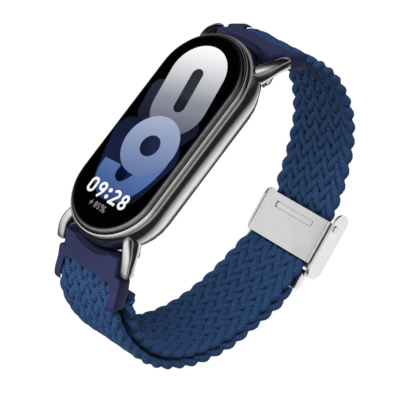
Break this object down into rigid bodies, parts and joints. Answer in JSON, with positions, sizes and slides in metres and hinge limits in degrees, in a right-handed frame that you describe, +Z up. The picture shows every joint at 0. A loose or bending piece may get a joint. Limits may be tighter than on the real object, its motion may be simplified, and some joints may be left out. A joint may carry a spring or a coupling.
{
  "type": "fitness tracker band",
  "caption": "Pill-shaped fitness tracker with a glass display on a braided strap loop that closes with a fold-over metal clasp.",
  "frame": {"origin": "middle of the loop's footprint, at the lowest point of the closed clasp", "axes": "+Z up, out of the display glass; +Y along the display towards its upper end; +X to the display's right, along the strap pivots"},
  "size_m": [0.0216, 0.0666, 0.0535],
  "materials": {
    "black_glass": "polished",
    "display": "gloss",
    "gunmetal": "satin",
    "black_plastic": "fine matte",
    "seal_rubber": "matte",
    "green_board": "solder mask",
    "battery_foil": "foil",
    "gold_contact": "gold plated",
    "amber_film": "film",
    "navy_polymer": "satin",
    "braid_blue": "woven",
    "stainless": "brushed",
    "spring_steel": "bright"
  },
  "bodies": {
    "tracker": {"metal_frame": "gunmetal", "cover_glass": "black_glass", "glass_seal": "seal_rubber", "display_panel": "display", "display_flex": "amber_film", "inner_chassis": "black_plastic", "battery_cell": "battery_foil", "main_board": "green_board", "processor_chip": "black_plastic", "motor_case": "stainless", "back_seal": "seal_rubber", "back_cover": "black_plastic", "sensor_board": "green_board", "sensor_window": "black_glass", "charge_contact_upper": "gold_contact", "charge_contact_lower": "gold_contact", "upper_lug_bracket": "gunmetal", "lower_lug_bracket": "gunmetal"},
    "vibration_rotor": {"motor_weight": "spring_steel"},
    "upper_release": {"upper_release_button": "black_plastic"},
    "lower_release": {"lower_release_button": "black_plastic"},
    "upper_strap": {"upper_connector": "navy_polymer", "upper_bar_tube": "spring_steel", "upper_bar_spring": "spring_steel", "long_strap": "braid_blue", "strap_tail_tip": "navy_polymer", "clasp_base": "stainless", "grip_liner": "stainless", "link_bar": "stainless", "cover_hinge_pin_left": "stainless", "cover_hinge_pin_right": "stainless"},
    "lower_strap": {"lower_connector": "navy_polymer", "lower_bar_tube": "spring_steel", "lower_bar_spring": "spring_steel", "short_strap": "braid_blue", "strap_end_crimp": "stainless"},
    "upper_plunger": {"upper_bar_plunger": "spring_steel"},
    "lower_plunger": {"lower_bar_plunger": "spring_steel"},
    "clasp_lid": {"clasp_cover": "stainless", "pressure_pad": "stainless"}
  },
  "joints": [
    {"name": "lower_strap_pivot", "type": "hinge", "parent": "tracker", "child": "lower_strap", "pos_m": [0, -0.02236, 0.04703], "axis": [-1, 0, 0], "range_deg": [0, 50]},
    {"name": "upper_strap_pivot", "type": "hinge", "parent": "tracker", "child": "upper_strap", "pos_m": [0, 0.02584, 0.04703], "axis": [1, 0, 0], "range_deg": [0, 22.5]},
    {"name": "clasp_lid_hinge", "type": "hinge", "parent": "upper_strap", "child": "clasp_lid", "pos_m": [0, 0.01169, 0.00479], "axis": [1, 0, 0], "range_deg": [0, 80]},
    {"name": "upper_release_press", "type": "slide", "parent": "tracker", "child": "upper_release", "axis": [0, 0, 1], "range_m": [0, 0.0003], "stiffness_N_per_m": 800},
    {"name": "lower_release_press", "type": "slide", "parent": "tracker", "child": "lower_release", "axis": [0, 0, 1], "range_m": [0, 0.0003], "stiffness_N_per_m": 800},
    {"name": "upper_bar_retract", "type": "slide", "parent": "upper_strap", "child": "upper_plunger", "axis": [-1, 0, 0], "range_m": [0, 0.0012], "stiffness_N_per_m": 500, "deforming": ["upper_bar_spring"]},
    {"name": "lower_bar_retract", "type": "slide", "parent": "lower_strap", "child": "lower_plunger", "axis": [-1, 0, 0], "range_m": [0, 0.0012], "stiffness_N_per_m": 500, "deforming": ["lower_bar_spring"]},
    {"name": "motor_spin", "type": "hinge", "parent": "tracker", "child": "vibration_rotor", "pos_m": [0, 0.01674, 0.04843], "axis": [0, 0, 1], "continuous": true}
  ],
  "couplings": [
    {"joint": "upper_strap_pivot", "follows": "lower_strap_pivot", "ratio": 0.45}
  ]
}
